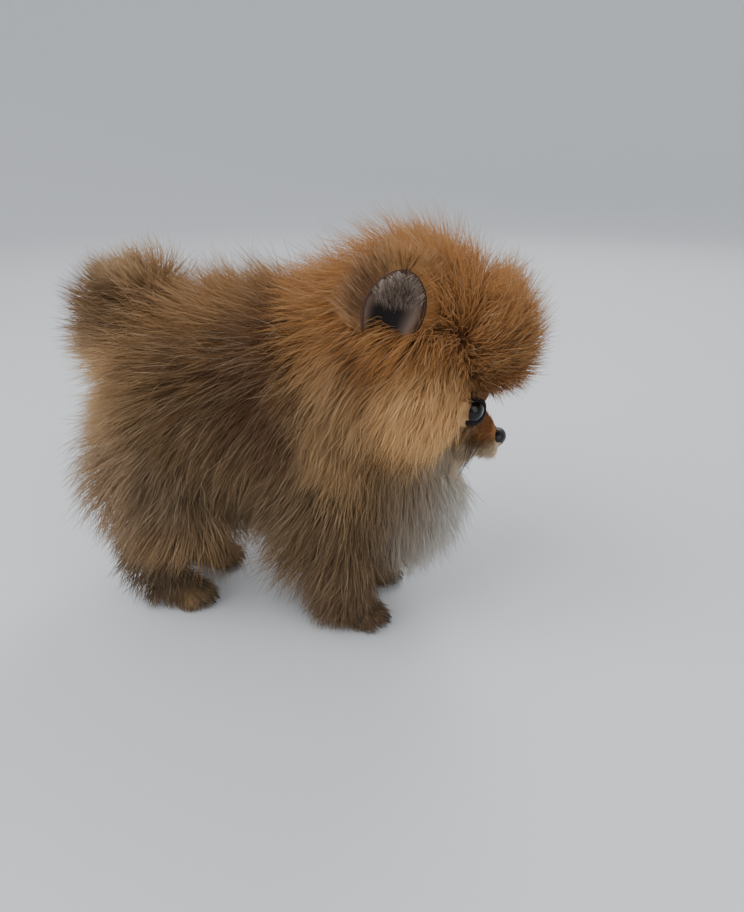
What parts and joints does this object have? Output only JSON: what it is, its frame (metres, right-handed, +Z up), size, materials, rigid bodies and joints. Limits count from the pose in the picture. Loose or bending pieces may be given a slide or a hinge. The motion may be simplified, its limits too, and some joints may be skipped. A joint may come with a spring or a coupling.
{
  "type": "pomeranian puppy",
  "caption": "Life-size still model of a standing Pomeranian puppy with a long fluffy orange and grey sable coat, pricked ears and a fan tail carried over its back.",
  "frame": {"origin": "on the floor under the middle of the whole puppy's box", "axes": "+X towards the chest and nose, +Y to the puppy's left, +Z up"},
  "size_m": [0.2334, 0.1122, 0.1897],
  "materials": {
    "eye": "wet and glossy",
    "nose_leather": "damp, finely pebbled",
    "ear_skin": "thin skin with fine down",
    "orange_coat": "soft long hair",
    "sable_coat": "soft long hair with dark tips",
    "cream_coat": "soft long hair"
  },
  "bodies": {
    "root": {"eye_right": "eye", "eye_left": "eye", "nose": "nose_leather", "ear_right": "ear_skin", "ear_left": "ear_skin", "head": "orange_coat", "lower_jaw": "cream_coat", "neck": "orange_coat", "tail": "orange_coat", "chest": "cream_coat", "torso": "sable_coat", "paw_front_right": "sable_coat", "paw_hind_right": "sable_coat", "leg_front_right": "sable_coat", "leg_hind_right": "sable_coat", "paw_front_left": "sable_coat", "paw_hind_left": "sable_coat", "leg_front_left": "sable_coat", "leg_hind_left": "sable_coat"}
  },
  "joints": []
}
